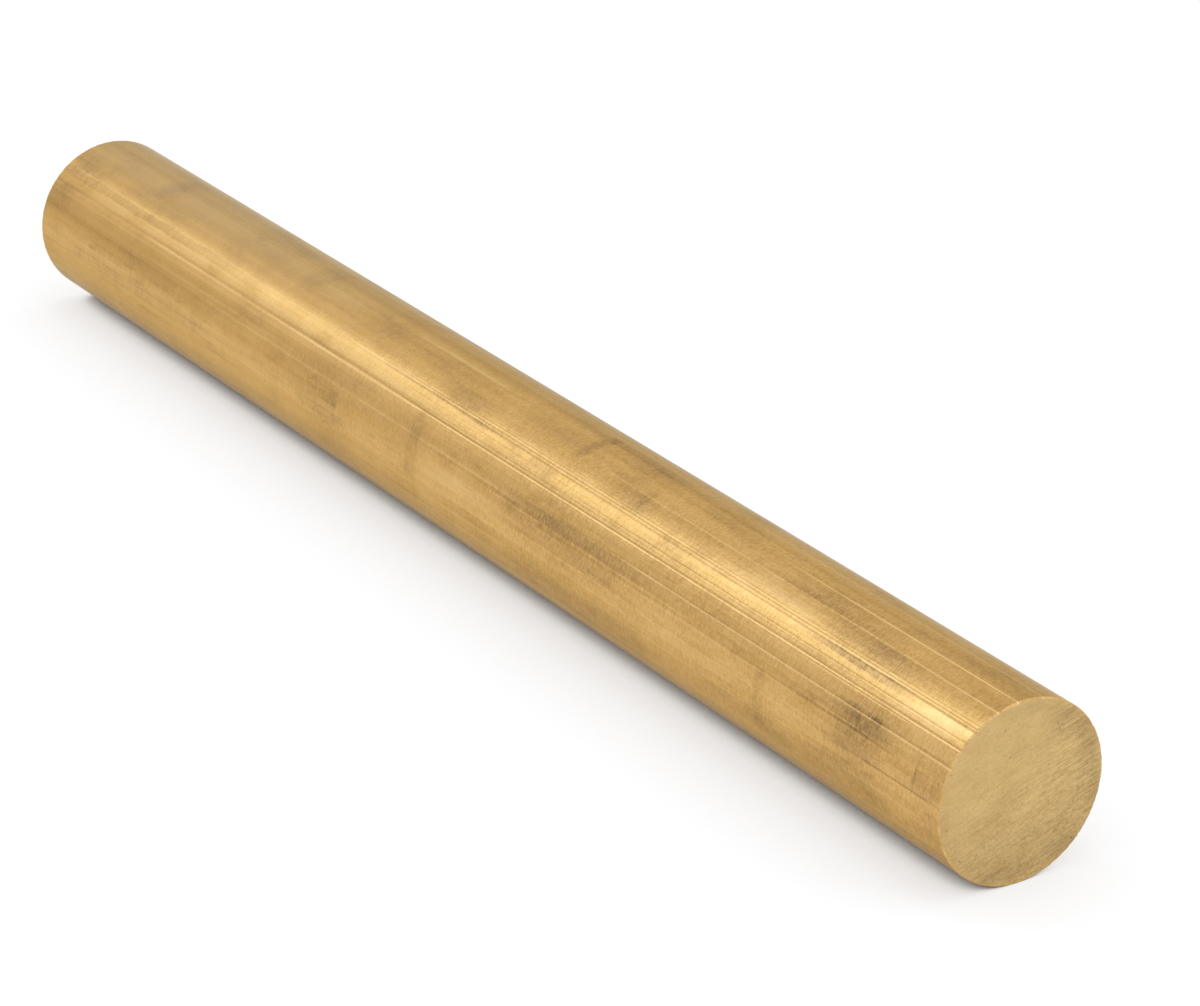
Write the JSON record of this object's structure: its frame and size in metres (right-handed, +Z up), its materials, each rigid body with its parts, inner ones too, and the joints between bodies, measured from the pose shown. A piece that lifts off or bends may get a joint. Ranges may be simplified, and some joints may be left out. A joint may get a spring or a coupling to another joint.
{
  "type": "brass round bar",
  "caption": "Solid brass round bar stock, drawn finish with fine lengthwise die lines, sawn square at both ends with the sharp edges taken off.",
  "frame": {"origin": "on the floor under the middle of the bar, where it touches the surface that it lies on", "axes": "+X along the bar's axis, +Y across it, +Z up from the floor; the bar's axis is one radius above the floor"},
  "size_m": [0.3048, 0.0317, 0.0317],
  "materials": {
    "drawn_brass": "satin"
  },
  "bodies": {
    "root": {"round_bar": "drawn_brass"}
  },
  "joints": []
}
